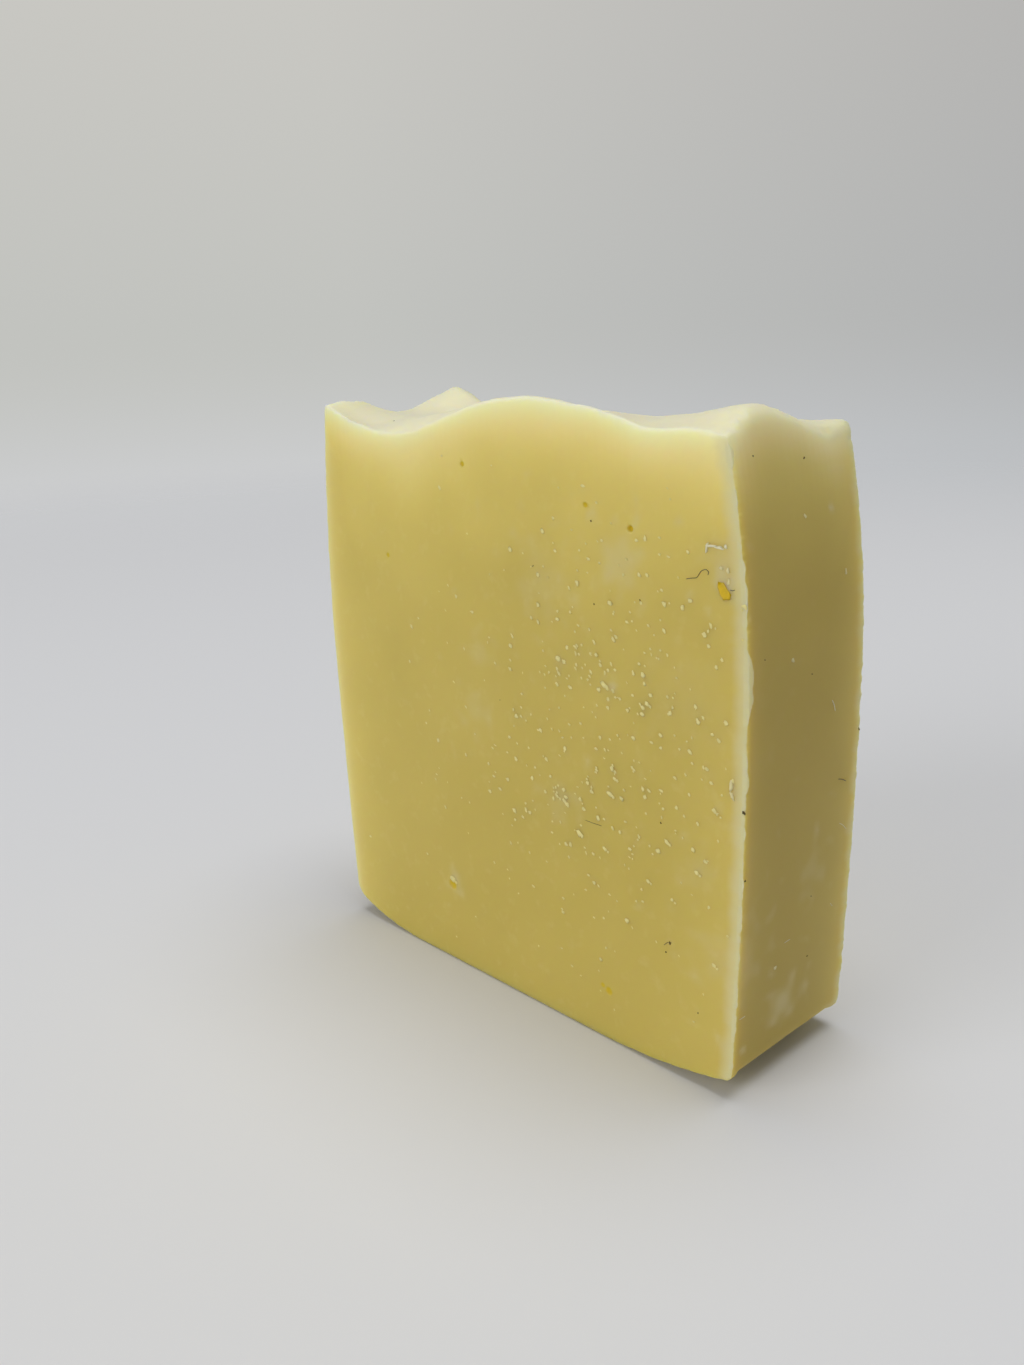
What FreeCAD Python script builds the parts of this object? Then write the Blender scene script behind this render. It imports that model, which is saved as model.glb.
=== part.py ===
import FreeCAD, Part
import os
import Sketcher
from FreeCAD import Vector

# A hand-cut bar of loaf soap, standing on the edge that was the bottom of the loaf.
# X runs along the wide cut face, Y through the thickness from front to back, Z up.
# The origin is on the table, under the middle of the bar. Sizes are in millimetres.

NODE = "soap_bar"

SIZES = {
    # The slice that was cut from the loaf
    "bar_width": 84.6,
    "bar_thickness": 25.4,
    "pour_level": 87.0,
    "spare_height": 9.0,
    # The mould's soft walls bow outwards, each in its own way
    "right_widest_height": 56.0,
    "right_upper_radius": 135.0,
    "right_lower_radius": 820.0,
    "left_widest_height": 50.0,
    "left_upper_radius": 268.0,
    "left_lower_radius": 1390.0,
    # The foot is flat in the middle and lifts towards both ends like a rocker
    "foot_right": 18.0,
    "foot_left": 24.0,
    "right_rocker_radius": 88.0,
    "left_rocker_radius": 46.0,
    # Roundings
    "bottom_corner_radius": 3.4,
    "cut_edge_radius": 0.5,
    # The poured top: its lines overshoot the sides. The near crest is set back from the front
    # face and falls to its lee, and the far slope is set back from the back face.
    "wave_overshoot": 1.0,
    "crest_setback": 7.6,
    "lee_width": 3.2,
    "slope_setback": 4.9,
    "slope_width": 4.5,
}

# The poured top: how far each line swells above the pour level or sinks below it. The points
# are evenly spaced from the left side to the right, and each pulls the line towards itself.
TOP_LINES = {
    "front": (3.7, 0.5, -1.4, -3.1, -1.4, 1.0, 2.6, 3.2, 2.2, 1.5, -2.0, 0.8, -4.1),
    "crest": (3.2, 0.3, -1.1, -0.5, 0.4, 1.1, 1.6, 1.3, 0.3, 0.2, 0.1, 2.3, 1.1),
    "lee": (1.1, 0.0, -0.9, -1.0, -0.5, 0.0, 0.4, 0.1, -0.4, -0.4, 0.0, 2.0, 0.1),
    "furrow": (0.1, -0.5, -1.1, -1.4, -1.5, -1.1, -0.8, -1.0, -1.2, -1.4, -1.1, 0.1, -2.0),
    "slope": (-0.1, 2.2, -0.4, -0.9, -0.7, -0.5, -0.8, -1.2, -1.6, -1.5, -1.3, -1.1, -1.7),
    "back": (0.0, 5.1, -1.5, -0.3, -0.4, -0.5, -1.1, -1.6, -1.7, -1.3, -1.4, -1.6, -3.0),
}

# How far each line of the poured top runs behind the front face.
LINE_DEPTHS = {
    "front": "0",
    "crest": "Sizes.crest_setback",
    "lee": "Sizes.crest_setback + Sizes.lee_width",
    "furrow": "Sizes.bar_thickness - Sizes.slope_setback - Sizes.slope_width",
    "slope": "Sizes.bar_thickness - Sizes.slope_setback",
    "back": "Sizes.bar_thickness",
}

SPLINE_DEGREE = 3
CLOSE = 1e-4
ORIGIN_POINT = (-1, 1)  # a sketch's own origin, as a constraint names it
POINT_ORDER = ("edge", "start", "end", "centre")  # how a constraint counts an arc's points
START, END, CENTRE = (POINT_ORDER.index(name) for name in ("start", "end", "centre"))


def rise_alias(line, number):
    """The name of one point's rise in the sheet."""
    return f"{line}_rise_{number + 1}"


def fill_sheet(doc):
    """Every driving size goes into one cell with an alias."""
    cells = dict(SIZES)
    for line, rises in TOP_LINES.items():
        for number, rise in enumerate(rises):
            cells[rise_alias(line, number)] = rise
    sheet = doc.addObject("Spreadsheet::Sheet", "Sizes")
    for row, (alias, value) in enumerate(cells.items(), start=1):
        sheet.set(f"A{row}", alias.replace("_", " "))
        sheet.set(f"B{row}", str(value))
        sheet.setAlias(f"B{row}", alias)
    doc.recompute()


def upright_sketch(body, name):
    """An empty sketch on the body's upright middle plane, looking at the front."""
    plane = next(part for part in body.Origin.OriginFeatures if part.Role == "XZ_Plane")
    sketch = body.newObject("Sketcher::SketchObject", name)
    sketch.AttachmentSupport = [(plane, "")]
    sketch.MapMode = "FlatFace"
    return sketch


def bind(sketch, kind, expression, value, *where):
    """Adds one dimension to a sketch and ties it to the sheet."""
    number = sketch.addConstraint(Sketcher.Constraint(kind, *where, value))
    sketch.setExpression(f"Constraints[{number}]", expression)


def relate(sketch, kind, *where):
    """Adds one relation without a dimension to a sketch."""
    sketch.addConstraint(Sketcher.Constraint(kind, *where))


def add_arc(sketch, centre, start, end):
    """An arc that turns anticlockwise from start to end."""
    halfway = (start + end) * 0.5 - centre
    halfway.normalize()
    middle = centre + halfway * (start - centre).Length
    return sketch.addGeometry(Part.Arc(start, middle, end), False)


def side_point(side, sign, height):
    """Where a bowed side stands at a height."""
    offset = height - SIZES[f"{side}_widest_height"]
    level = "upper" if offset > 0 else "lower"
    radius = SIZES[f"{side}_{level}_radius"]
    inset = radius - (radius**2 - offset**2) ** 0.5
    return Vector(sign * (SIZES["bar_width"] / 2 - inset), height)


def corner_centre(side, sign, rocker_centre, lower_centre):
    """The centre of the round corner that touches both the rocker and the side from inside."""
    corner_radius = SIZES["bottom_corner_radius"]
    rocker_reach = SIZES[f"{side}_rocker_radius"] - corner_radius
    lower_reach = SIZES[f"{side}_lower_radius"] - corner_radius
    between = lower_centre - rocker_centre
    gap = between.Length
    along = (rocker_reach**2 - lower_reach**2 + gap**2) / (2 * gap)
    aside = (rocker_reach**2 - along**2) ** 0.5
    forward = between * (1 / gap)
    outward = Vector(-forward.y, forward.x) * sign
    meetings = [rocker_centre + forward * along + outward * side_step for side_step in (aside, -aside)]
    return min(meetings, key=lambda point: point.y)


def touching_point(large_centre, small_centre, small_radius):
    """Where a small circle touches a large one that it lies in."""
    outward = small_centre - large_centre
    outward.normalize()
    return small_centre + outward * small_radius


def add_half(sketch, side, sign):
    """The rocker, the round corner and the two tangent arcs of one side, from foot to top."""
    block_height = SIZES["pour_level"] + SIZES["spare_height"]
    widest = SIZES[f"{side}_widest_height"]
    foot_end = Vector(sign * SIZES[f"foot_{side}"], 0)
    belly = Vector(sign * SIZES["bar_width"] / 2, widest)
    top = side_point(side, sign, block_height)
    centres = {
        "rocker": foot_end + Vector(0, SIZES[f"{side}_rocker_radius"]),
        "lower": belly - Vector(sign * SIZES[f"{side}_lower_radius"], 0),
        "upper": belly - Vector(sign * SIZES[f"{side}_upper_radius"], 0),
    }
    corner_radius = SIZES["bottom_corner_radius"]
    corner = corner_centre(side, sign, centres["rocker"], centres["lower"])
    corner_start = touching_point(centres["rocker"], corner, corner_radius)
    corner_end = touching_point(centres["lower"], corner, corner_radius)

    # Each piece of the outline: its centre, its ends on the way up and its radius in the sheet.
    pieces = {
        "rocker": (centres["rocker"], foot_end, corner_start, f"{side}_rocker_radius"),
        "corner": (corner, corner_start, corner_end, "bottom_corner_radius"),
        "lower": (centres["lower"], corner_end, belly, f"{side}_lower_radius"),
        "upper": (centres["upper"], belly, top, f"{side}_upper_radius"),
    }
    low, high = (START, END) if sign > 0 else (END, START)
    arcs = {}
    for name, (centre, below, above, alias) in pieces.items():
        ends = (below, above) if sign > 0 else (above, below)
        arcs[name] = add_arc(sketch, centre, *ends)
        bind(sketch, "Radius", f"Sizes.{alias}", SIZES[alias], arcs[name])
    relate(sketch, "Tangent", arcs["rocker"], high, arcs["corner"], low)
    relate(sketch, "Tangent", arcs["corner"], high, arcs["lower"], low)
    relate(sketch, "Coincident", arcs["lower"], high, arcs["upper"], low)

    half_width = f"{sign} * Sizes.bar_width / 2"
    bind(sketch, "DistanceX", half_width, belly.x, *ORIGIN_POINT, arcs["upper"], low)
    for arc, point in ((arcs["upper"], low), (arcs["upper"], CENTRE), (arcs["lower"], CENTRE)):
        bind(sketch, "DistanceY", f"Sizes.{side}_widest_height", widest, *ORIGIN_POINT, arc, point)
    return arcs, low, high


def cast_slice(body):
    """The slice as the mould and the cut leave it, with a plain top above the soap's own."""
    sketch = upright_sketch(body, "mould_outline")
    foot_right = Vector(SIZES["foot_right"], 0)
    foot_left = Vector(-SIZES["foot_left"], 0)
    foot = sketch.addGeometry(Part.LineSegment(foot_left, foot_right), False)
    for side, sign, end, point in (("right", 1, END, foot_right), ("left", -1, START, foot_left)):
        bind(sketch, "DistanceX", f"{sign} * Sizes.foot_{side}", point.x, *ORIGIN_POINT, foot, end)
        relate(sketch, "PointOnObject", foot, end, -1)

    right, right_low, right_high = add_half(sketch, "right", 1)
    left, left_low, left_high = add_half(sketch, "left", -1)
    relate(sketch, "Tangent", foot, END, right["rocker"], right_low)
    relate(sketch, "Tangent", left["rocker"], left_low, foot, START)

    block_height = SIZES["pour_level"] + SIZES["spare_height"]
    top_ends = (side_point("right", 1, block_height), side_point("left", -1, block_height))
    top = sketch.addGeometry(Part.LineSegment(*top_ends), False)
    relate(sketch, "Coincident", right["upper"], right_high, top, START)
    relate(sketch, "Coincident", top, END, left["upper"], left_high)
    relate(sketch, "Horizontal", top)
    bind(
        sketch, "DistanceY", "Sizes.pour_level + Sizes.spare_height", block_height,
        *ORIGIN_POINT, top, START
    )

    slice_pad = body.newObject("PartDesign::Pad", "slice")
    slice_pad.Profile = sketch
    slice_pad.SideType = "Symmetric"
    slice_pad.setExpression("Length", "Sizes.bar_thickness")
    body.Document.recompute()
    return slice_pad


def round_cut_edges(body, slice_pad):
    """Takes the sharpness off the edges that frame the two cut faces."""
    framing = []
    for number, edge in enumerate(slice_pad.Shape.Edges, start=1):
        box = edge.BoundBox
        if box.YLength < CLOSE and box.ZMin < SIZES["pour_level"]:
            framing.append(f"Edge{number}")
    rounding = body.newObject("PartDesign::Fillet", "cut_edges")
    rounding.Base = (slice_pad, framing)
    rounding.setExpression("Radius", "Sizes.cut_edge_radius")
    body.Document.recompute()


def wave_section(body, line):
    """One upright section of what is missing above the poured top, with the wave as its underside."""
    sketch = upright_sketch(body, f"{line}_wave")
    in_front_of_middle = f"Sizes.bar_thickness / 2 - ({LINE_DEPTHS[line]})"
    sketch.setExpression("AttachmentOffset.Base.z", in_front_of_middle)
    rises = TOP_LINES[line]
    last = len(rises) - 1
    span = SIZES["bar_width"] + 2 * SIZES["wave_overshoot"]
    poles = []
    for number, rise in enumerate(rises):
        poles.append(Vector(span * (number / last - 0.5), SIZES["pour_level"] + rise))
    pieces = last + 1 - SPLINE_DEGREE
    knots = [number / pieces for number in range(pieces + 1)]
    repeats = [SPLINE_DEGREE + 1] + [1] * (pieces - 1) + [SPLINE_DEGREE + 1]
    curve = Part.BSplineCurve()
    curve.buildFromPolesMultsKnots(poles, repeats, knots, False, SPLINE_DEGREE)
    wave = sketch.addGeometry(curve, False)
    for number, pole in enumerate(poles):
        handle = sketch.addGeometry(Part.Circle(pole, Vector(0, 0, 1), 1), True)
        relate(sketch, "Weight", handle, 1)
        kind = "InternalAlignment:Sketcher::BSplineControlPoint"
        relate(sketch, kind, handle, CENTRE, wave, number)
        across = f"(Sizes.bar_width + 2 * Sizes.wave_overshoot) * ({number} / {last} - 0.5)"
        height = f"Sizes.pour_level + Sizes.{rise_alias(line, number)}"
        bind(sketch, "DistanceX", across, pole.x, *ORIGIN_POINT, handle, CENTRE)
        bind(sketch, "DistanceY", height, pole.y, *ORIGIN_POINT, handle, CENTRE)

    lid_height = SIZES["pour_level"] + 2 * SIZES["spare_height"]
    left, right = poles[0], poles[-1]
    lid_left, lid_right = Vector(left.x, lid_height), Vector(right.x, lid_height)
    left_wall = sketch.addGeometry(Part.LineSegment(left, lid_left), False)
    lid = sketch.addGeometry(Part.LineSegment(lid_left, lid_right), False)
    right_wall = sketch.addGeometry(Part.LineSegment(lid_right, right), False)
    relate(sketch, "Coincident", wave, START, left_wall, START)
    relate(sketch, "Coincident", left_wall, END, lid, START)
    relate(sketch, "Coincident", lid, END, right_wall, START)
    relate(sketch, "Coincident", right_wall, END, wave, END)
    relate(sketch, "Vertical", left_wall)
    relate(sketch, "Vertical", right_wall)
    relate(sketch, "Horizontal", lid)
    bind(
        sketch, "DistanceY", "Sizes.pour_level + 2 * Sizes.spare_height", lid_height,
        *ORIGIN_POINT, lid, START
    )
    return sketch


def shape_poured_top(body):
    """Takes away all that lies above the lines of the poured top."""
    sections = [wave_section(body, line) for line in TOP_LINES]
    body.Document.recompute()
    poured_top = body.newObject("PartDesign::SubtractiveLoft", "poured_top")
    poured_top.Profile = sections[0]
    poured_top.Sections = [(section, [""]) for section in sections[1:]]
    body.Document.recompute()


def check(doc):
    """Stops if any object of the model failed to build."""
    for item in doc.Objects:
        if "Invalid" in item.State or "Error" in item.State:
            raise RuntimeError(f"{item.Label} failed: {item.State}")
        if hasattr(item, "Shape") and item.TypeId.startswith("PartDesign::"):
            if item.Shape.isNull() or not item.Shape.isValid():
                raise RuntimeError(f"{item.Label} has a bad shape")


def main():
    os.makedirs("parts", exist_ok=True)
    doc = FreeCAD.newDocument("soap")
    fill_sheet(doc)
    body = doc.addObject("PartDesign::Body", NODE)
    slice_pad = cast_slice(body)
    round_cut_edges(body, slice_pad)
    shape_poured_top(body)
    check(doc)
    body.Shape.exportStep(f"parts/{NODE}.step")


main()
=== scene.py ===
import math
import random
import bmesh
import bpy
import numpy as np
from mathutils import Matrix, Vector, noise
from mathutils.bvhtree import BVHTree


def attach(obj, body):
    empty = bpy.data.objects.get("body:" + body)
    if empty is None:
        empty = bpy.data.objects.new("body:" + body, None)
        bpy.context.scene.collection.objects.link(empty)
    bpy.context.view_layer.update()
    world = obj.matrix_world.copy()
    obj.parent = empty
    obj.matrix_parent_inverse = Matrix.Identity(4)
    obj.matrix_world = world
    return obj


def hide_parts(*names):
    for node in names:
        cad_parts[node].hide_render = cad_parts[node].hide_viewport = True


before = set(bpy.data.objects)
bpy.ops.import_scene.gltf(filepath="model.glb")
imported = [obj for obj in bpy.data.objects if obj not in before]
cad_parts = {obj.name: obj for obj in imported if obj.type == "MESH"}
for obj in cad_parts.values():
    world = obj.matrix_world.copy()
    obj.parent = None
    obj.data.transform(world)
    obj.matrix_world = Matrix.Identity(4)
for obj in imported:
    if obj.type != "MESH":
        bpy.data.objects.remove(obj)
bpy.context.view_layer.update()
mm = 0.001


def linear(hexColour):  # sRGB hex to linear, opaque
    channels = [int(hexColour[i:i + 2], 16) / 255 for i in (1, 3, 5)]
    return [c / 12.92 if c <= 0.04045 else ((c + 0.055) / 1.055) ** 2.4 for c in channels] + [1.0]


def addNode(tree, kind, values=None, links=None, **settings):  # one node with its settings and links
    node = tree.nodes.new(kind)
    for name, value in settings.items():
        setattr(node, name, value)
    for name, value in (values or {}).items():
        node.inputs[name].default_value = value
    for name, source in (links or {}).items():
        tree.links.new(source, node.inputs[name])
    return node


def newMaterial(name):
    material = bpy.data.materials.new(name)
    material.use_nodes = True
    material.node_tree.nodes.clear()
    return material, material.node_tree


def addObject(name, mesh):
    obj = bpy.data.objects.new(name, mesh)
    bpy.context.scene.collection.objects.link(obj)
    return obj


camera = {  # where the photo was taken from
    "place": (118.49, -119.82, 96.31),  # mm
    "turn": math.radians(47.42),        # from looking along +Y, towards the left
    "down": math.radians(16.17),
    "roll": math.radians(-2.55),
    "focalPixels": 1160,
    "imageHeight": 1365,
    "middle": (512, 682.5),             # pixel
}


def makeCamera():
    turn, down, roll = camera["turn"], camera["down"], camera["roll"]
    right = Vector((math.cos(turn), math.sin(turn), 0))
    ahead = Vector((-math.sin(turn) * math.cos(down), math.cos(turn) * math.cos(down), -math.sin(down)))
    up = right.cross(ahead)
    rolledRight = math.cos(roll) * right + math.sin(roll) * up
    rolledUp = -math.sin(roll) * right + math.cos(roll) * up
    data = bpy.data.cameras.new("photoCamera")
    data.sensor_width = 36
    data.lens = camera["focalPixels"] * data.sensor_width / camera["imageHeight"]
    data.clip_start = 0.005
    obj = addObject("photoCamera", data)
    place = Vector(camera["place"]) * mm
    facing = Matrix((rolledRight, rolledUp, -ahead)).transposed().to_4x4()
    obj.matrix_world = Matrix.Translation(place) @ facing
    bpy.context.scene.camera = obj
    print("camera set")
    return obj


bar = {
    "voxel": 0.55,          # mm, what the bar's skin is rebuilt at
    "softenPasses": 2,
    "halfWidth": 42.3,      # mm
    "halfThickness": 12.7,
    "wallWave": 0.10,       # how far the cut faces wander
    "skinRipple": 0.14,     # small dimples of the poured top
    "edgeChew": 0.30,       # how far the cut edges are nibbled
    # where the near edge's lip is torn: height, half length, extra width in mm
    "lips": (
        (83.5, 1.2, 0.5), (80.6, 0.7, -0.5), (57.0, 3.4, 0.75), (45.0, 1.2, 0.35),
        (69.0, 2.5, 0.15),
    ),
    "lipRise": 0.14,        # how far the lip stands off the side
    "topRounding": 1.5,     # how round the pour has slumped over the mould's walls
    "edgeReach": 1.5,       # strip along an upright edge that gets finer faces
    "crumbReach": 3,        # how far the near top corner is crumbly, and how much
    "crumbHeight": 0.55,
    "rightBow": (56, 135, 820),    # height where it is widest, radius above, radius below
    "leftBow": (50, 268, 1390),
    # lumps and hollows of the pour: across, deep, how high, how wide
    "lumps": (
        (-40.2, -5.2, 0.75, 1.7), (-40.5, -2.6, -0.25, 1.8), (41.0, 5.2, -1.0, 1.2), (39.6, 7.4, -0.7, 1.2),
        (41.6, 10.8, 0.8, 1.8), (38.5, 12.2, 0.5, 2.0),
        (37.0, -6.8, 0.20, 2.6), (-35.8, 12.4, 0.25, 1.6), (-37.4, 10.6, -0.25, 1.4),
    ),
}


def makeBarMesh():
    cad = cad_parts["soap_bar"]
    obj = addObject("soapBar", cad.data.copy())
    obj.data.materials.clear()
    welder = bmesh.new()
    welder.from_mesh(obj.data)
    bmesh.ops.remove_doubles(welder, verts=welder.verts, dist=0.002 * mm)
    welder.to_mesh(obj.data)
    welder.free()
    obj.data.remesh_voxel_size = bar["voxel"] * mm
    obj.data.remesh_voxel_adaptivity = 0
    bpy.context.view_layer.objects.active = obj
    obj.select_set(True)
    bpy.ops.object.voxel_remesh()
    soften = bmesh.new()
    soften.from_mesh(obj.data)
    for _ in range(bar["softenPasses"]):
        bmesh.ops.smooth_vert(
            soften, verts=soften.verts, factor=0.5, use_axis_x=True, use_axis_y=True, use_axis_z=True
        )
    soften.to_mesh(obj.data)
    soften.free()
    obj.data.shade_smooth()
    print("bar skin", len(obj.data.polygons), "faces")
    return obj


def readVectors(mesh, attribute):  # one row per vertex
    values = np.empty(len(mesh.vertices) * 3, np.float32)
    mesh.vertices.foreach_get(attribute, values)
    return values.reshape(-1, 3).astype(float)


def writePoints(mesh, points):
    mesh.vertices.foreach_set("co", (points * mm).astype(np.float32).ravel())
    mesh.update()


def sideInset(bow, heights):  # how far the mould's wall has come in from where it is widest
    widest, above, below = bow
    radius = np.where(heights > widest, above, below)
    return radius - np.sqrt(radius ** 2 - (heights - widest) ** 2)


topMap = {  # coarse map of the poured top, seen from above
    "cell": 1.0,            # mm
    "corner": (45, 15),     # mm from the bar's middle to the map's first cell
    "cells": (92, 32),
    "lowest": 80,           # mm, the top is nowhere lower
    "flattest": 0.4,        # upward part of a normal that still counts as top
    "spreads": 8,           # cells filled past the rim, where the sides bow out
    "smoothPasses": 3,      # so that no column shows in the colours
}


def topHeights(points, normals):  # the poured top's height over every vertex
    columns = ((points[:, 0] + topMap["corner"][0]) / topMap["cell"]).astype(int)
    rows = ((points[:, 1] + topMap["corner"][1]) / topMap["cell"]).astype(int)
    heights = np.zeros(topMap["cells"])
    onTop = (points[:, 2] > topMap["lowest"]) & (normals[:, 2] > topMap["flattest"])
    np.maximum.at(heights, (columns[onTop], rows[onTop]), points[onTop, 2])
    for _ in range(topMap["spreads"]):
        spread = heights.copy()
        for shift, axis in ((1, 0), (-1, 0), (1, 1), (-1, 1)):
            spread = np.maximum(spread, np.roll(heights, shift, axis))
        heights = np.where(heights > 0, heights, spread)
    for _ in range(topMap["smoothPasses"]):
        for axis in (0, 1):
            heights = (np.roll(heights, 1, axis) + 2 * heights + np.roll(heights, -1, axis)) / 4
    return heights[columns, rows]


def depthsInside(points, normals):  # how far each vertex lies from the right, left, front, back and top
    x, y, z = points.T
    return {
        "right": bar["halfWidth"] - sideInset(bar["rightBow"], z) - x,
        "left": x + bar["halfWidth"] - sideInset(bar["leftBow"], z),
        "front": y + bar["halfThickness"],
        "back": bar["halfThickness"] - y,
        "top": topHeights(points, normals) - z,
    }


def noiseOver(points, size, seed=0.0, stretch=(1, 1, 1)):
    placed = (points * stretch + (0, 0, seed)) / size
    return np.array([noise.noise(Vector(place)) for place in placed])


def refine(obj, chooses):  # halve the faces whose vertices the test picks
    points, normals = readVectors(obj.data, "co") / mm, readVectors(obj.data, "normal")
    chosen = chooses(points, normals)
    finer = bmesh.new()
    finer.from_mesh(obj.data)
    finer.verts.ensure_lookup_table()
    edges = [edge for edge in finer.edges if all(chosen[corner.index] for corner in edge.verts)]
    bmesh.ops.subdivide_edges(finer, edges=edges, cuts=1, use_grid_fill=True)
    finer.to_mesh(obj.data)
    finer.free()
    obj.data.shade_smooth()


def lipWidth(points):  # how far the near edge's pale lip hangs over the side, at each height
    heights = points * (0, 0, 1)
    width = 0.15 + 0.32 * noiseOver(heights, 4.0, 23) + 0.22 * noiseOver(heights, 1.3, 5)
    for height, reach, extra in bar["lips"]:
        width += extra * np.exp(-((points[:, 2] - height) / reach) ** 4)
    return width


def sharpenEdges(obj):  # the knife leaves crisp upright edges, which the voxels had rounded
    for reach in (bar["edgeReach"], bar["edgeReach"] / 2):
        def onRightEdges(points, normals):
            inside = depthsInside(points, normals)
            return (inside["right"] < reach) & (np.minimum(inside["front"], inside["back"]) < reach)
        refine(obj, onRightEdges)
    points, normals = readVectors(obj.data, "co") / mm, readVectors(obj.data, "normal")
    inside = depthsInside(points, normals)
    for face, outward in (("front", -1), ("back", 1)):
        near = np.maximum(inside["right"], inside[face]) < bar["edgeReach"]
        gap = np.where(near, np.clip(np.minimum(inside["right"], inside[face]), 0, 0.6), 0)
        points[:, 0] += gap * 0.6
        points[:, 1] += gap * 0.6 * outward
        heights = points * (0, 0, 1)
        nibble = noiseOver(heights, 3.2, 61 + outward) + 0.8 * noiseOver(heights, 1.1, 12 * outward)
        nibble += 0.5 * noiseOver(heights, 0.45, 7)
        corner = np.exp(-(np.maximum(inside["right"], 0) + np.maximum(inside[face], 0)) / 0.45)
        push = bar["edgeChew"] * (nibble - 0.25) * corner * np.clip((points[:, 2] - 2) / 5, 0, 1)
        points[:, 0] += push
        points[:, 1] += push * 0.5 * outward
    lip = np.clip((lipWidth(points) - inside["front"]) / 0.2 + 0.5, 0, 1)
    lip = lip * (inside["right"] < 0.5) * (points[:, 2] > 3)
    points[:, 0] += bar["lipRise"] * lip * (inside["front"] < bar["edgeReach"])
    writePoints(obj.data, points)


def shapeBar(obj):
    points, normals = readVectors(obj.data, "co") / mm, readVectors(obj.data, "normal")
    inside = depthsInside(points, normals)
    footShare = np.clip(points[:, 2] / 2.5, 0, 1)
    topShare = np.clip(1 - inside["top"] / 2, 0, 1) * np.clip(normals[:, 2] * 2, 0, 1)
    push = noiseOver(points, 22, 5) * bar["wallWave"] + noiseOver(points, 6, 9) * bar["wallWave"] * 0.4
    push -= bar["wallWave"] * 0.4
    push += topShare * noiseOver(points, 3.1, 2, (1, 1, 0.3)) * bar["skinRipple"]
    points += normals * (push * footShare)[:, None]
    for across, deep, rise, width in bar["lumps"]:
        away = (points[:, 0] - across) ** 2 + (points[:, 1] - deep) ** 2
        points[:, 2] += rise * np.exp(-away / width ** 2) * np.clip((points[:, 2] - 82) / 3, 0, 1)
    rounding = bar["topRounding"]
    for side, outward in (("right", 1), ("left", -1)):
        across, down = rounding - inside[side], rounding - inside["top"]
        distance = np.hypot(across, down)
        outside = (across > 0) & (down > 0) & (distance > rounding)
        pull = np.where(outside, 1 - rounding / np.maximum(distance, rounding), 0)
        points[:, 0] -= outward * across * pull
        points[:, 2] -= down * pull
    right, front, top = (np.maximum(inside[name], 0) for name in ("right", "front", "top"))
    corner = np.exp(-(right + front + top) / bar["crumbReach"])
    crumbs = noiseOver(points, 1.3, 77) + 0.5 * noiseOver(points, 0.7, 3)
    points += normals * (corner * bar["crumbHeight"] * crumbs)[:, None]
    writePoints(obj.data, points)
    print("bar shaped")


class BarEye:  # looks at the bar through the camera, to place what the photo shows
    def __init__(self, obj, cameraObject):
        mesh = obj.data
        corners = [vertex.co.copy() for vertex in mesh.vertices]
        self.tree = BVHTree.FromPolygons(corners, [polygon.vertices[:] for polygon in mesh.polygons])
        self.place = cameraObject.matrix_world.translation
        self.turn = cameraObject.matrix_world.to_3x3()

    def hit(self, across, down):  # point and normal on the bar, in metres, behind a pixel
        focal = camera["focalPixels"]
        middleAcross, middleDown = camera["middle"]
        ray = self.turn @ Vector(((across - middleAcross) / focal, (middleDown - down) / focal, -1))
        point, normal, _, _ = self.tree.ray_cast(self.place, ray.normalized())
        return point, normal


pitStrips = (2.6, 1.9, 1.4)  # radii around a pit that get finer and finer faces
# what is sunk into the front face: pixel, radius and depth in mm
pits = (
    (630, 529, 0.42, 0.40), (585, 505, 0.34, 0.18), (388, 555, 0.36, 0.15), (462, 464, 0.36, 0.15),
    (453, 884, 0.80, 0.25), (609, 991, 0.55, 0.15), (603, 985, 0.35, 0.08),
)


def pressPits(obj, eye):
    centres = []
    for across, down, radius, depth in pits:
        point, normal = eye.hit(across, down)
        centres.append((np.array(point) / mm, np.array(normal), radius, depth))
    for reach in pitStrips:
        def nearPit(points, normals):
            chosen = np.zeros(len(points), bool)
            for centre, _, radius, _ in centres:
                chosen |= np.linalg.norm(points - centre, axis=1) < radius * reach
            return chosen
        refine(obj, nearPit)
    points = readVectors(obj.data, "co") / mm
    stain = np.zeros(len(points))
    for centre, normal, radius, depth in centres:
        away = np.linalg.norm(points - centre, axis=1) / radius
        stain = np.maximum(stain, np.exp(-(away / 1.15) ** 6))
        rim = 0.12 * depth * np.exp(-((away - 1.35) / 0.3) ** 2)
        points += normal * (rim - depth * np.exp(-away ** 3))[:, None]
    writePoints(obj.data, points)
    addAttribute(obj.data, "stain", stain)


# faint cloudy patches in the skin: pixel, radius in mm, strength
haze = (
    (617, 560, 3.0, 0.45), (540, 583, 4.0, 0.2), (480, 655, 2.4, 0.25), (475, 711, 2.4, 0.25),
    (722, 572, 1.4, 0.7), (727, 960, 4.0, 0.25), (722, 560, 2.2, 0.35), (690, 700, 5.0, 0.10),
    (783, 1000, 2.4, 0.55), (812, 870, 2.2, 0.25),
    (455, 880, 1.3, 0.45), (560, 800, 2.0, 0.25), (700, 870, 2.0, 0.2),
)


glow = {  # mm over which the paler, better lit soap near each edge fades into the deep colour
    "warmReach": {"top": 12.0, "left": 7.5, "right": 9.0},
    "warmShare": {"top": 1.0, "left": 0.45, "right": 0.20},
    "sideReach": {"top": 9.0, "front": 2.2, "back": 3.6},
    "sideShare": {"top": 0.9, "front": 0.25, "back": 0.60},
    "paleReach": 2.5,
    "leftPaleReach": 1.2,
    "bandWidth": 2.3,       # the pale strip along the near upright edge: the torn lip's paler soap, and painted light where light shines through the thin edge
    "bandFade": 2.0,
    "rimReach": 1.4,        # the pour's dry skin, and the painted light of the rim lit from above, reach this far down the walls
    "backBandWidth": 1.9,
}


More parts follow.
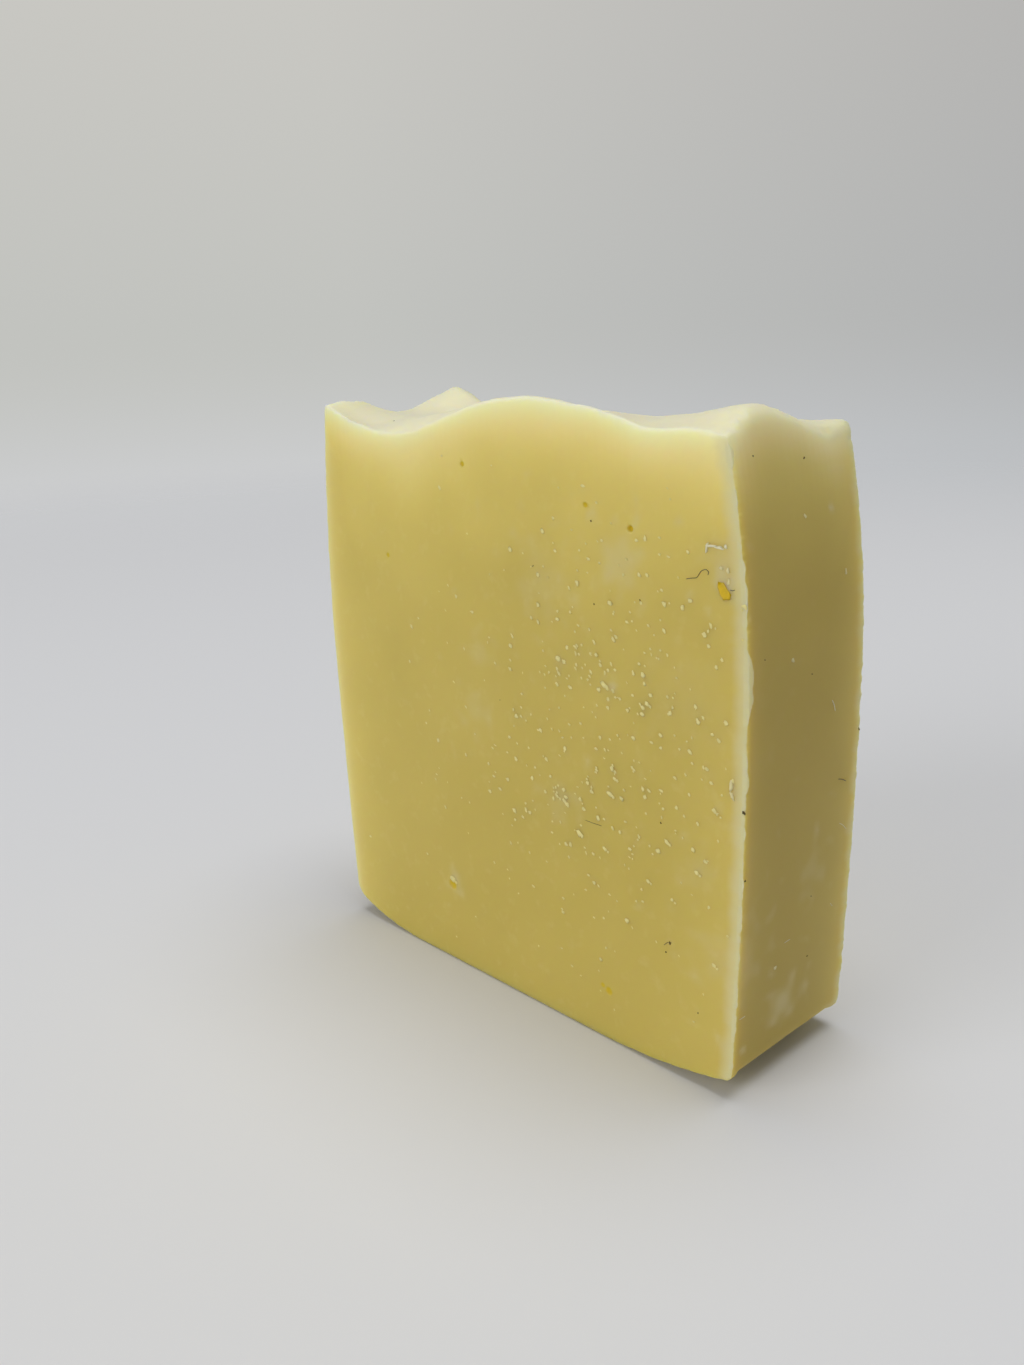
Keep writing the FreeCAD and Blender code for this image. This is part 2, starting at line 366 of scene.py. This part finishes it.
def addAttribute(mesh, name, values):
    layer = mesh.attributes.new(name, "FLOAT", "POINT")
    layer.data.foreach_set("value", np.clip(values, 0, 1).astype(np.float32))


def paintBar(obj, eye):
    points, normals = readVectors(obj.data, "co") / mm, readVectors(obj.data, "normal")
    inside = {name: np.maximum(depth, 0) for name, depth in depthsInside(points, normals).items()}
    facing = {
        "front": np.clip(-normals[:, 1], 0, 1) ** 2,
        "back": np.clip(normals[:, 1], 0, 1) ** 2,
        "right": np.clip(normals[:, 0], 0, 1) ** 2,
        "left": np.clip(-normals[:, 0], 0, 1) ** 2,
        "top": np.clip(normals[:, 2], 0, 1) ** 2,
    }
    faceShare = facing["front"] + facing["back"]
    sideShare = facing["right"] + facing["left"]
    uneven = 1 + 0.35 * noiseOver(points, 9, 17)
    warm = np.zeros(len(points))
    for name, reach in glow["warmReach"].items():
        warm = np.maximum(warm, glow["warmShare"][name] * np.exp(-inside[name] / reach / uneven))
    warmSide = np.zeros(len(points))
    for name, reach in glow["sideReach"].items():
        warmSide = np.maximum(warmSide, glow["sideShare"][name] * np.exp(-inside[name] / reach / uneven))
    total = faceShare + sideShare + facing["top"] + 1e-6
    addAttribute(obj.data, "warmth", (warm * faceShare + warmSide * sideShare + facing["top"]) / total)

    # painted light: paler near the top and near the left edge, where light falls from above and comes through the
    # soap
    pale = np.exp(-inside["top"] / glow["paleReach"] / uneven)
    paleLeft = 0.6 * np.exp(-inside["left"] / glow["leftPaleReach"])
    paleFace = np.maximum(pale, paleLeft)
    addAttribute(obj.data, "paintedTopEdgeLight", (paleFace * faceShare + pale * sideShare + facing["top"]) / total)

    # the torn lip is paler soap; the bands along the near and back upright edges are painted light, where light
    # shines through the thin edges
    ragged = noiseOver(points * (0, 0, 1), 3.5, 40) * 0.5 + noiseOver(points * (0, 0, 1), 1.2, 3) * 0.25
    width = glow["bandWidth"] * (1 + 0.4 * ragged)
    band = np.clip((width - inside["right"]) / glow["bandFade"], 0, 1) ** 0.8 * facing["front"]
    lip = np.clip((lipWidth(points) - inside["front"]) / 0.15 + 0.5, 0, 1) * (inside["right"] < 0.6)
    backWidth = glow["backBandWidth"] * (1 + ragged)
    bandBack = np.clip((backWidth - inside["back"]) / glow["bandFade"], 0, 1) * sideShare
    addAttribute(obj.data, "paleLipAndEdgeLight", np.maximum(np.maximum(band * 0.85, bandBack * 0.8), lip * 0.9))
    # painted shade: each vertex's share of the side faces, which the material darkens as if less lit
    addAttribute(obj.data, "wall", sideShare)
    # dried skin of the top, and painted light: the top and the rim of the walls paler, as lit from above
    rim = np.exp(-inside["top"] / glow["rimReach"]) * sideShare
    addAttribute(obj.data, "pourSkinAndTopLight", np.maximum(facing["top"] * np.clip(1.5 - inside["top"], 0, 1), rim))
    frayed = 1 + 1.2 * noiseOver(points, 2.2, 51)
    cloudy = np.zeros(len(points))
    for across, down, radius, strength in haze:
        centre = np.array(eye.hit(across, down)[0]) / mm
        away = np.linalg.norm(points - centre, axis=1) / radius
        cloudy = np.maximum(cloudy, strength * np.exp(-(away * frayed) ** 2))
    addAttribute(obj.data, "haze", cloudy)
    print("bar painted", len(obj.data.polygons), "faces")


def blendColours(tree, factor, first, second):  # colours as hex or as another node's output
    node = addNode(tree, "ShaderNodeMix", data_type="RGBA", links={0: factor})
    for socket, colour in ((6, first), (7, second)):
        if isinstance(colour, str):
            node.inputs[socket].default_value = linear(colour)
        else:
            tree.links.new(colour, node.inputs[socket])
    return node.outputs[2]


def soapMaterial():
    # Cured handmade soap, poured and wire-cut: waxy, with a soft sheen, and paler where it is thin. Its colour also
    # holds painted light, paler near the edges and on the top, and painted shade on the side faces
    material, tree = newMaterial("curedSoapWireCut")
    coords = addNode(tree, "ShaderNodeTexCoord").outputs["Object"]
    painted = {
        name: addNode(tree, "ShaderNodeAttribute", attribute_name=name).outputs["Fac"]
        for name in ("wall", "warmth", "paintedTopEdgeLight", "paleLipAndEdgeLight", "pourSkinAndTopLight", "stain", "haze")
    }
    cloud = addNode(tree, "ShaderNodeTexNoise", {"Scale": 45, "Detail": 2, "Roughness": 0.5}, {"Vector": coords})
    mottle = addNode(tree, "ShaderNodeTexNoise", {"Scale": 520, "Detail": 2, "Roughness": 0.5}, {"Vector": coords})
    fleck = addNode(
        tree, "ShaderNodeMapRange", {"From Min": 0.58, "From Max": 0.78, "To Max": 0.16},
        {"Value": mottle.outputs["Fac"]},
    )
    tone = blendColours(tree, cloud.outputs["Fac"], "#c9b350", "#d6c060")
    for factor, colour in (
        (fleck.outputs["Result"], "#e4d896"),   # fat that set as fine grains
        (painted["wall"], "#bfa64a"),           # painted shade: the side faces darker, as they get less light
        (painted["warmth"], "#fbe67c"),         # light soaks in from the thin edges
        # painted light: paler soap near the top and left edges and on the top
        (painted["paintedTopEdgeLight"], "#faf4cb"),
        (painted["pourSkinAndTopLight"], "#e9e3c0"),           # dried skin of the pour, and painted light on the top and its rim, lit from above
        # paler torn lip, and painted light along the thin upright edges
        (painted["paleLipAndEdgeLight"], "#ded6a9"),
        (painted["haze"], "#ddd099"),
        (painted["stain"], "#d6ba00"),          # oil that sweated into the pits
    ):
        tone = blendColours(tree, factor, tone, colour)
    grain = addNode(tree, "ShaderNodeTexNoise", {"Scale": 1500, "Detail": 4, "Roughness": 0.6}, {"Vector": coords})
    bump = addNode(
        tree, "ShaderNodeBump", {"Strength": 0.2, "Distance": 0.05 * mm}, {"Height": grain.outputs["Fac"]}
    )
    depth = addNode(
        tree, "ShaderNodeMapRange", {"To Min": 4.5 * mm, "To Max": 0.05 * mm}, {"Value": painted["stain"]}
    )
    shader = addNode(
        tree, "ShaderNodeBsdfPrincipled",
        {"Roughness": 0.52, "IOR": 1.46, "Subsurface Weight": 1.0, "Subsurface Radius": (1.0, 0.85, 0.35)},
        {"Base Color": tone, "Normal": bump.outputs["Normal"], "Subsurface Scale": depth.outputs["Result"]},
    )
    addNode(tree, "ShaderNodeOutputMaterial", links={"Surface": shader.outputs["BSDF"]})
    return material


def makeBar(cameraObject):
    obj = makeBarMesh()
    shapeBar(obj)
    sharpenEdges(obj)
    eye = BarEye(obj, cameraObject)
    pressPits(obj, eye)
    paintBar(obj, eye)
    obj.data.materials.append(soapMaterial())
    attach(obj, "root")
    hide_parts("soap_bar")
    return eye


def waxMaterial(name, colour, roughness=0.5):
    # Small bits of the soap itself and what stuck to it: dry, matt and uneven in tone
    material, tree = newMaterial(name)
    coords = addNode(tree, "ShaderNodeTexCoord").outputs["Object"]
    tone = addNode(tree, "ShaderNodeTexNoise", {"Scale": 1400, "Detail": 3}, {"Vector": coords})
    shade = addNode(
        tree, "ShaderNodeMapRange", {"From Min": 0.3, "From Max": 0.7, "To Min": 0.82, "To Max": 1.0},
        {"Value": tone.outputs["Fac"]},
    )
    mixed = addNode(
        tree, "ShaderNodeVectorMath", {0: linear(colour)[:3]}, {"Scale": shade.outputs["Result"]},
        operation="SCALE",
    )
    shader = addNode(
        tree, "ShaderNodeBsdfPrincipled", {"Roughness": roughness, "IOR": 1.46},
        {"Base Color": mixed.outputs["Vector"]},
    )
    addNode(tree, "ShaderNodeOutputMaterial", links={"Surface": shader.outputs["BSDF"]})
    return material


def makePiece(name, shapes, material):
    mesh = bpy.data.meshes.new(name)
    mesh.from_pydata(shapes["points"], [], shapes["faces"])
    mesh.shade_smooth()
    mesh.materials.append(material)
    obj = addObject(name, mesh)
    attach(obj, "root")
    print(name, len(mesh.polygons), "faces")


def ballTemplate():
    ball = bmesh.new()
    bmesh.ops.create_icosphere(ball, subdivisions=2, radius=1)
    corners = [vertex.co.copy() for vertex in ball.verts]
    faces = [[vertex.index for vertex in face.verts] for face in ball.faces]
    ball.free()
    return corners, faces


def addBlob(shapes, eye, spot, size, angle, lift=0.0, rough=0.35):  # size: length, width, height in mm
    point, normal = eye.hit(*spot)
    slant = math.radians(angle)
    ahead = eye.hit(spot[0] + 2 * math.cos(slant), spot[1] + 2 * math.sin(slant))[0]
    if point is None or ahead is None:
        return
    along = ahead - point
    along = (along - normal * along.dot(normal)).normalized()
    across = normal.cross(along)
    start = len(shapes["points"])
    corners, faces = shapes["ball"]
    seed = Vector((spot[0] * 0.37, spot[1] * 0.21, start * 0.1))
    for corner in corners:
        swell = (1 + rough * 2 * noise.noise(corner * 1.3 + seed)) / 2 * mm
        offset = along * corner.x * size[0] + across * corner.y * size[1] + normal * (corner.z * size[2] + lift)
        shapes["points"].append(point + offset * swell)
    shapes["faces"] += [[start + index for index in face] for face in faces]


fibre = {"lift": 0.6, "stretch": 6, "softenPasses": 4, "sides": 6, "fuller": 1.3}  # how hairs are drawn


def addFibre(shapes, eye, path, radius):  # a hair that lies on the bar, through pixels of the photo
    pixels = np.array(path, float)
    steps = np.linspace(0, len(pixels) - 1, (len(pixels) - 1) * fibre["stretch"] + 1)
    pixels = np.stack([np.interp(steps, range(len(pixels)), pixels[:, k]) for k in (0, 1)], 1)
    for _ in range(fibre["softenPasses"]):
        pixels[1:-1] = (pixels[:-2] + 2 * pixels[1:-1] + pixels[2:]) / 4
    hits = [eye.hit(*pixel) for pixel in pixels]
    middles = [point + normal * radius * fibre["lift"] * mm for point, normal in hits]
    start, sides = len(shapes["points"]), fibre["sides"]
    for index, (middle, (_, normal)) in enumerate(zip(middles, hits)):
        forward = (middles[min(index + 1, len(middles) - 1)] - middles[max(index - 1, 0)]).normalized()
        across = normal.cross(forward).normalized()
        taper = 0.4 if index in (0, len(middles) - 1) else 1.0
        for side in range(sides):
            turn = 2 * math.pi * side / sides
            spoke = across * math.cos(turn) + forward.cross(across) * math.sin(turn)
            shapes["points"].append(middle + spoke * radius * taper * mm)
    for ring in range(len(middles) - 1):
        for side in range(sides):
            a, b = start + ring * sides + side, start + ring * sides + (side + 1) % sides
            shapes["faces"].append([a, b, b + sides, a + sides])
    shapes["faces"].append([start + side for side in range(sides)])
    last = start + (len(middles) - 1) * sides
    shapes["faces"].append([last + side for side in reversed(range(sides))])


flecks = {  # grains of pale fat that the wire dragged out of the front face
    "colour": "#f5e89a",
    # pixel, length, width, height in mm, slant in degrees
    "large": (
        (604, 685, 1.15, 0.75, 0.28, 55), (647, 704, 0.80, 0.60, 0.24, 40), (612, 769, 0.85, 0.65, 0.24, 70),
        (610, 794, 1.10, 0.70, 0.28, 30), (565, 802, 1.30, 0.50, 0.22, 60), (557, 796, 0.90, 0.40, 0.18, 50),
        (579, 833, 1.20, 0.75, 0.26, 50), (605, 849, 0.70, 0.55, 0.22, 45), (667, 842, 0.80, 0.55, 0.22, 40),
        (453, 879, 1.30, 0.90, 0.34, 20), (697, 873, 0.70, 0.60, 0.22, 40), (648, 881, 0.65, 0.50, 0.20, 50),
        (672, 900, 0.60, 0.50, 0.20, 50), (714, 811, 0.70, 0.55, 0.20, 50), (714, 966, 0.65, 0.50, 0.20, 40),
    ),
    "small": (
        (588, 559), (577, 583), (569, 588), (538, 605), (472, 612), (570, 612), (557, 619), (538, 622), (512, 636),
        (594, 642), (567, 647), (575, 647), (596, 655), (564, 662), (495, 663), (510, 669), (454, 682), (613, 691),
        (608, 708), (627, 622), (641, 603), (664, 631), (722, 660), (639, 575), (610, 603), (616, 637), (600, 738),
        (605, 750), (719, 741), (690, 752), (726, 723), (634, 770), (675, 778), (649, 791), (711, 783), (598, 818),
        (639, 837), (658, 851), (693, 850), (594, 883), (566, 844), (523, 817), (532, 778),
    ),
    "flatness": 0.6,            # share of the large ones' height that is built
    "smallHeight": 0.08,
    "scattered": 430,
    "scatteredHeight": 0.06,
    "shortest": 0.32,
    "longest": 0.8,
    "highestPixel": 450,
    "middle": (596, 735),       # where they lie thickest, and how far they spread
    "spread": (78, 120),
}


def makeFlecks(eye, ball):
    chance = random.Random(41)
    shapes = {"points": [], "faces": [], "ball": ball}
    for across, down, length, width, height, slant in flecks["large"]:
        addBlob(shapes, eye, (across, down), (length, width, height * flecks["flatness"]), slant)
        addBlob(shapes, eye, (across + 3, down + 3), (length * 0.6, width * 0.7, height * 0.5), slant + 20)
    for spot in flecks["small"]:
        length = chance.uniform(0.5, 0.8)
        size = (length, length * chance.uniform(0.5, 0.8), flecks["smallHeight"])
        addBlob(shapes, eye, spot, size, chance.uniform(30, 75))
    for _ in range(flecks["scattered"]):
        across = chance.gauss(flecks["middle"][0], flecks["spread"][0])
        down = chance.gauss(flecks["middle"][1], flecks["spread"][1])
        length = min(flecks["shortest"] + chance.expovariate(6), flecks["longest"])
        slant = chance.uniform(25, 80)
        point, normal = eye.hit(across, down)
        if point is None or normal.y > -0.9 or down < flecks["highestPixel"]:
            continue
        size = (length, length * chance.uniform(0.45, 0.9), flecks["scatteredHeight"])
        addBlob(shapes, eye, (across, down), size, slant)
    makePiece("paleFatFlecks", shapes, waxMaterial("fatGrainDraggedByWire", flecks["colour"]))


torn = {  # thin lips and crumbs along the cut edges: pixel, length, width, height in mm, slant
    "colour": "#f0e4a8",
    "bits": (
        (731, 786, 1.5, 0.5, 0.25, 95), (732, 796, 1.0, 0.5, 0.25, 70), (864, 668, 1.2, 0.6, 0.4, 85),
        (846, 571, 1.0, 0.35, 0.2, 90), (805, 516, 0.6, 0.4, 0.18, 60), (793, 660, 0.6, 0.4, 0.18, 40),
        (775, 968, 0.6, 0.45, 0.18, 60), (728, 571, 0.6, 0.45, 0.15, 80), (729, 582, 0.7, 0.4, 0.15, 95),
        (721, 568, 0.5, 0.4, 0.15, 60),
    ),
    # the white crumb like a letter near the top right: pixel, length, width, height, slant
    "white": (
        (707, 547, 1.1, 0.35, 0.3, 100), (712, 546, 1.4, 0.30, 0.3, 5), (720, 548, 1.4, 0.35, 0.3, 8),
        (726, 547, 0.6, 0.4, 0.25, 90),
    ),
    "whiteColour": "#f3ecc6",
}


def makeTornBits(eye, ball):
    shapes = {"points": [], "faces": [], "ball": ball}
    for across, down, length, width, height, slant in torn["bits"]:
        addBlob(shapes, eye, (across, down), (length, width, height), slant, rough=0.5)
    makePiece("tornEdgeSoap", shapes, waxMaterial("tornSoapLip", torn["colour"], 0.55))
    shapes = {"points": [], "faces": [], "ball": ball}
    for across, down, length, width, height, slant in torn["white"]:
        addBlob(shapes, eye, (across, down), (length, width, height), slant, 0.05, 0.5)
    makePiece("whiteCrumbs", shapes, waxMaterial("driedSoapCrumb", torn["whiteColour"], 0.6))


dirt = {
    # dark dust: pixel and width in mm
    "specks": (
        (591, 521, 0.26), (594, 604, 0.24), (533, 566, 0.22), (661, 823, 0.28), (670, 943, 0.42), (666, 952, 0.30),
        (698, 1013, 0.24), (351, 820, 0.50), (394, 421, 0.30), (597, 1033, 0.34), (804, 458, 0.34), (753, 456, 0.24),
        (765, 660, 0.22), (812, 674, 0.22), (807, 956, 0.24), (811, 896, 0.22), (865, 637, 0.4), (859, 729, 0.35),
        (857, 781, 0.3), (854, 844, 0.3), (744, 813, 0.45), (745, 881, 0.35), (640, 600, 0.2), (500, 700, 0.18),
    ),
    "speckColour": "#5f4f2a",
    # lint: pixels along each hair, and its thickness in mm
    "darkHairs": (
        (((686, 579), (692, 578), (697, 578), (701, 571), (706, 569), (709, 572), (708, 575)), 0.07),
        (((585, 820), (593, 823), (602, 826)), 0.05), (((730, 590), (733, 591), (735, 590)), 0.06),
        (((838, 779), (842, 779), (846, 781)), 0.07), (((664, 945), (668, 942), (672, 943)), 0.06),
    ),
    "paleHairs": (
        (((832, 700), (834, 705), (835, 711)), 0.10), (((839, 823), (843, 825), (846, 829)), 0.07),
        (((830, 903), (832, 906)), 0.07), (((784, 943), (790, 939)), 0.06), (((739, 1020), (745, 1016)), 0.07),
    ),
    "darkHairColour": "#5d5748",
    "paleHairColour": "#efe9c8",
}


def makeDirt(eye, ball):
    shapes = {"points": [], "faces": [], "ball": ball}
    for across, down, width in dirt["specks"]:
        addBlob(shapes, eye, (across, down), (width, width * 0.75, width * 0.35), 30 + across % 90, 0.02, 0.5)
    makePiece("darkSpecks", shapes, waxMaterial("driedDustSpeck", dirt["speckColour"], 0.8))
    for name, key, colour in (
        ("darkLint", "darkHairs", dirt["darkHairColour"]), ("paleLint", "paleHairs", dirt["paleHairColour"]),
    ):
        shapes = {"points": [], "faces": []}
        for path, thickness in dirt[key]:
            addFibre(shapes, eye, path, thickness / 2 * fibre["fuller"])
        makePiece(name, shapes, waxMaterial(name + "Fluff", colour, 0.8))


yellowFleck = {"spot": (723.5, 591), "size": (2.6, 1.4, 0.12), "slant": 62, "colour": "#e3bd08"}


def makeYellowFleck(eye, ball):
    shapes = {"points": [], "faces": [], "ball": ball}
    addBlob(shapes, eye, yellowFleck["spot"], yellowFleck["size"], yellowFleck["slant"], 0.0, 0.2)
    makePiece("yellowFleck", shapes, waxMaterial("yellowColourLump", yellowFleck["colour"], 0.35))


studio = {  # floor, light and background
    "floorRadius": 1.3,        # m
    "overheadPlace": (0.12, 0.20, 1.95),
    "overheadSize": 1.5,
    "overheadPower": 21.0,
    "frontPlace": (-0.45, -1.85, 0.75),
    "frontSize": 1.3,
    "frontPower": 15.0,
    "skyStrength": 0.29,
}


def makeFloor():
    disc = bmesh.new()
    bmesh.ops.create_circle(disc, cap_ends=True, radius=studio["floorRadius"], segments=96)
    mesh = bpy.data.meshes.new("paleFloor")
    disc.to_mesh(mesh)
    disc.free()
    obj = addObject("paleFloor", mesh)
    # Matt pale board that fades out far away, so the floor runs into the background with no edge
    material, tree = newMaterial("paleMattBoard")
    coords = addNode(tree, "ShaderNodeTexCoord").outputs["Object"]
    distance = addNode(tree, "ShaderNodeVectorMath", links={0: coords}, operation="LENGTH").outputs["Value"]
    fade = addNode(
        tree, "ShaderNodeMapRange", {"From Min": 0.28, "From Max": 1.0}, {"Value": distance},
        interpolation_type="SMOOTHSTEP",
    )
    board = addNode(
        tree, "ShaderNodeBsdfPrincipled",
        {"Base Color": linear("#dfdfe0"), "Roughness": 0.85, "Specular IOR Level": 0.2},
    )
    clear = addNode(tree, "ShaderNodeBsdfTransparent")
    mix = addNode(
        tree, "ShaderNodeMixShader",
        links={0: fade.outputs["Result"], 1: board.outputs["BSDF"], 2: clear.outputs["BSDF"]},
    )
    addNode(tree, "ShaderNodeOutputMaterial", links={"Surface": mix.outputs["Shader"]})
    mesh.materials.append(material)


def makeLamp(name, place, size, power):
    data = bpy.data.lights.new(name, "AREA")
    data.shape = "DISK"
    data.size = size
    data.energy = power
    obj = addObject(name, data)
    direction = Vector((0, 0, 0.04)) - Vector(place)
    obj.matrix_world = Matrix.Translation(place) @ direction.to_track_quat("-Z", "Y").to_matrix().to_4x4()


def makeWorld():
    world = bpy.data.worlds.new("greyRoom")
    bpy.context.scene.world = world
    world.use_nodes = True
    tree = world.node_tree
    tree.nodes.clear()
    rays = addNode(tree, "ShaderNodeLightPath")
    direction = addNode(tree, "ShaderNodeTexCoord").outputs["Generated"]
    sideways = addNode(
        tree, "ShaderNodeVectorMath", {1: (0.677, 0.736, 0)}, {0: direction}, operation="DOT_PRODUCT"
    ).outputs["Value"]
    across = addNode(tree, "ShaderNodeMapRange", {"From Min": -0.12, "From Max": 0.42}, {"Value": sideways})
    height = addNode(tree, "ShaderNodeSeparateXYZ", links={0: direction}).outputs["Z"]
    low = addNode(
        tree, "ShaderNodeMapRange", {"From Min": -0.14, "From Max": 0.02}, {"Value": height},
        interpolation_type="SMOOTHSTEP",
    )
    high = addNode(tree, "ShaderNodeMapRange", {"From Min": 0.03, "From Max": 0.25}, {"Value": height})
    wall = blendColours(tree, across.outputs["Result"], "#cecfd1", "#bec1c4")
    for factor, left, right in ((low, "#c2c3bf", "#b2b3b3"), (high, "#c8c7c2", "#b5b4b2")):
        band = blendColours(tree, across.outputs["Result"], left, right)
        wall = blendColours(tree, factor.outputs["Result"], wall, band)
    seen = addNode(tree, "ShaderNodeBackground", {"Strength": 1.0}, {"Color": wall})
    light = addNode(tree, "ShaderNodeBackground", {"Color": linear("#eef1f5"), "Strength": studio["skyStrength"]})
    mix = addNode(
        tree, "ShaderNodeMixShader",
        links={0: rays.outputs["Is Camera Ray"], 1: light.outputs["Background"], 2: seen.outputs["Background"]},
    )
    addNode(tree, "ShaderNodeOutputWorld", links={"Surface": mix.outputs["Shader"]})


photoCamera = makeCamera()
eye = makeBar(photoCamera)
ball = ballTemplate()
makeFlecks(eye, ball)
makeTornBits(eye, ball)
makeDirt(eye, ball)
makeYellowFleck(eye, ball)
makeFloor()
makeLamp("overheadSoftbox", studio["overheadPlace"], studio["overheadSize"], studio["overheadPower"])
makeLamp("frontWindow", studio["frontPlace"], studio["frontSize"], studio["frontPower"])
makeWorld()
bpy.context.scene.view_settings.view_transform = "Standard"
print("studio lit")
